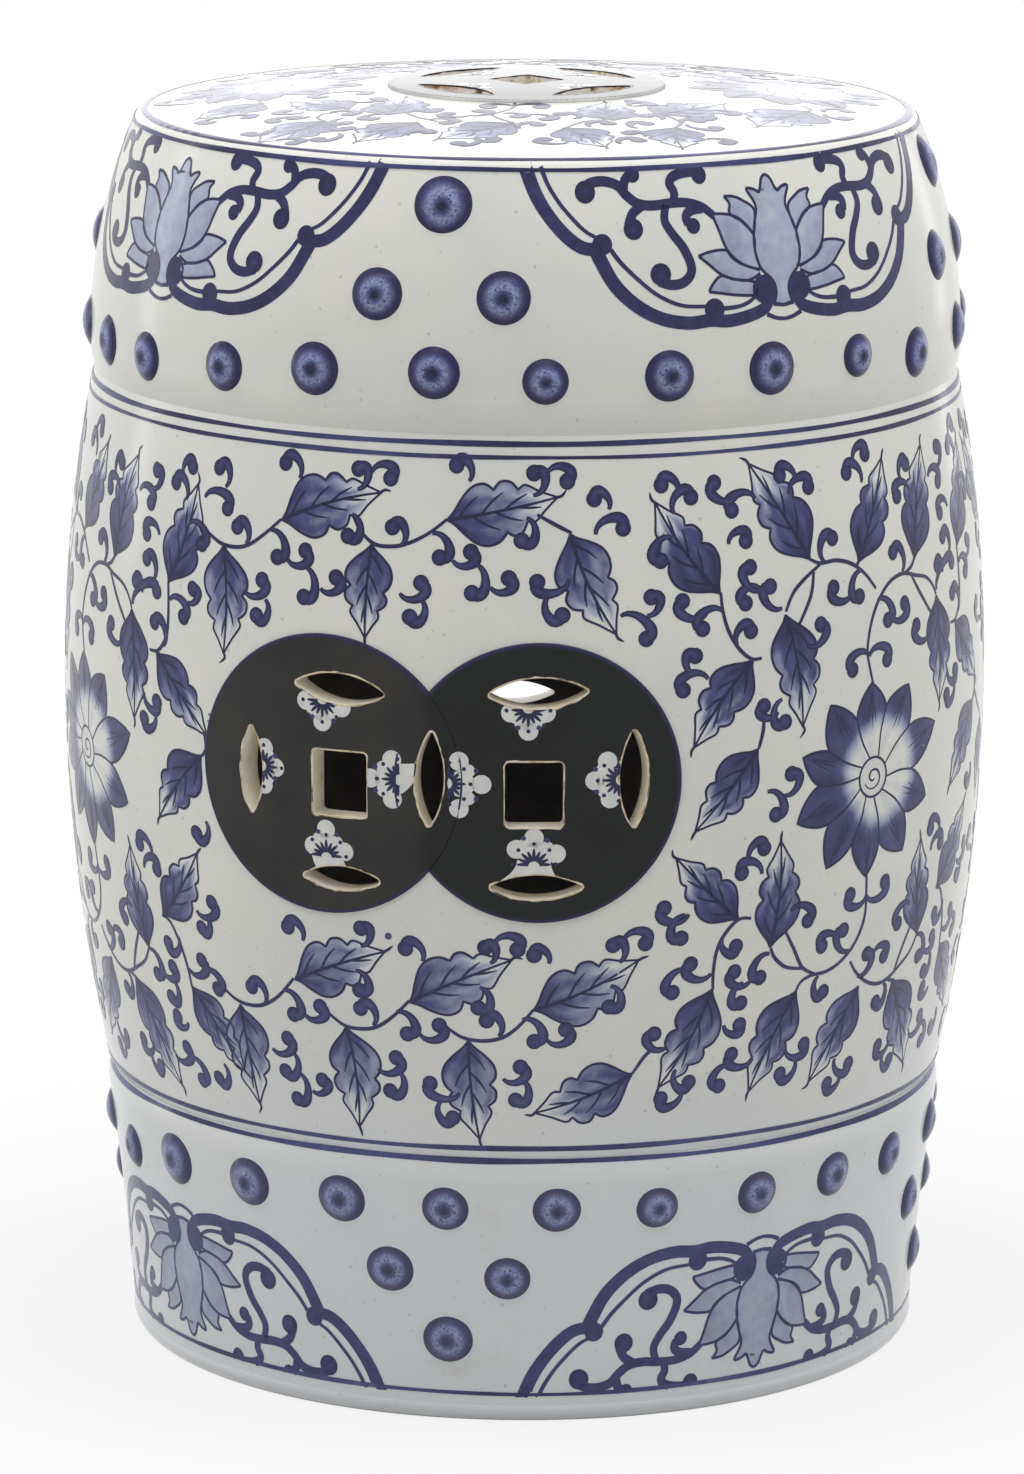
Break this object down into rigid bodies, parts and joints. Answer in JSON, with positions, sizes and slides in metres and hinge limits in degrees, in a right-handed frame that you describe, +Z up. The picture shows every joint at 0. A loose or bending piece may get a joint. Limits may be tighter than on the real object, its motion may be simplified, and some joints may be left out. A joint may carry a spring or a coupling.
{
  "type": "ceramic garden stool",
  "caption": "Drum-shaped blue and white ceramic garden stool with a domed seat, rows of bosses and pierced double-coin medallions.",
  "frame": {"origin": "centre of the circle the foot stands on", "axes": "+Z up along the drum's axis, -Y out through the front pair of coins"},
  "size_m": [0.3344, 0.3366, 0.4575],
  "materials": {
    "white_glaze": "clear glaze over off-white body, painted in cobalt blue",
    "coin_glaze": "black glaze, glossy",
    "blue_glaze": "mottled cobalt blue under clear glaze",
    "bare_clay": "glazed side, bare fired tread"
  },
  "bodies": {
    "root": {"foot_ring": "bare_clay", "lower_band": "white_glaze", "belly_wall": "white_glaze", "upper_band": "white_glaze", "seat_slab": "white_glaze", "seat_coin": "coin_glaze", "front_coin_left": "coin_glaze", "front_coin_right": "coin_glaze", "back_coin_left": "coin_glaze", "back_coin_right": "coin_glaze", "upper_boss_row": "blue_glaze", "upper_boss_trios": "blue_glaze", "lower_boss_row": "blue_glaze", "lower_boss_trios": "blue_glaze"}
  },
  "joints": []
}
